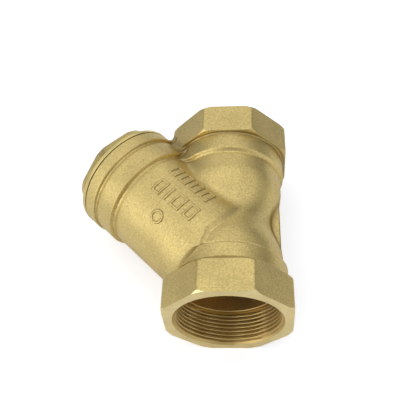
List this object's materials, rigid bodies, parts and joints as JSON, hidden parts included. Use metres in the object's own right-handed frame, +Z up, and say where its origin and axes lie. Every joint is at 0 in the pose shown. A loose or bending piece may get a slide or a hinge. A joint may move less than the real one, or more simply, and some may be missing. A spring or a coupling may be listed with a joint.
{
  "type": "y strainer",
  "caption": "Brass Y strainer with octagonal threaded ends and a screw cap on its angled branch, which holds a perforated screen that catches debris and lifts out for cleaning.",
  "frame": {"origin": "on the surface the strainer lies on, under the middle of its bounding box", "axes": "+Y along the run from the inlet face to the outlet face, +Z up, and the branch leaves the run level at 45 degrees between -X and +Y"},
  "size_m": [0.1258, 0.126, 0.07],
  "materials": {
    "cast_brass": "shot-blasted casting, satin, fine sparkle",
    "turned_brass": "machined, semi-bright",
    "gasket_fibre": "matt flat fibre ring",
    "stainless": "rolled sheet",
    "stainless_cloth": "woven wire cloth"
  },
  "bodies": {
    "strainer_body": {"body": "cast_brass"},
    "screen": {"screen_sleeve": "stainless", "screen_liner": "stainless_cloth", "screen_seat_ring": "stainless", "screen_cap_ring": "stainless", "screen_seam_strip": "stainless"},
    "gasket": {"cap_gasket": "gasket_fibre"},
    "cap": {"cap": "turned_brass"}
  },
  "joints": [
    {"name": "screen_withdraw", "type": "slide", "parent": "strainer_body", "child": "screen", "axis": [-0.7071, 0.7071, 0], "range_m": [0, 0.095]},
    {"name": "cap_lift", "type": "slide", "parent": "screen", "child": "gasket", "axis": [-0.7071, 0.7071, 0], "range_m": [0, 0.0141]},
    {"name": "cap_turn", "type": "hinge", "parent": "gasket", "child": "cap", "pos_m": [-0.03715, 0.03715, 0.035], "axis": [-0.7071, 0.7071, 0], "range_deg": [0, 2520]}
  ],
  "couplings": [
    {"joint": "cap_lift", "follows": "cap_turn", "m_per_rad": 0.00031831}
  ]
}
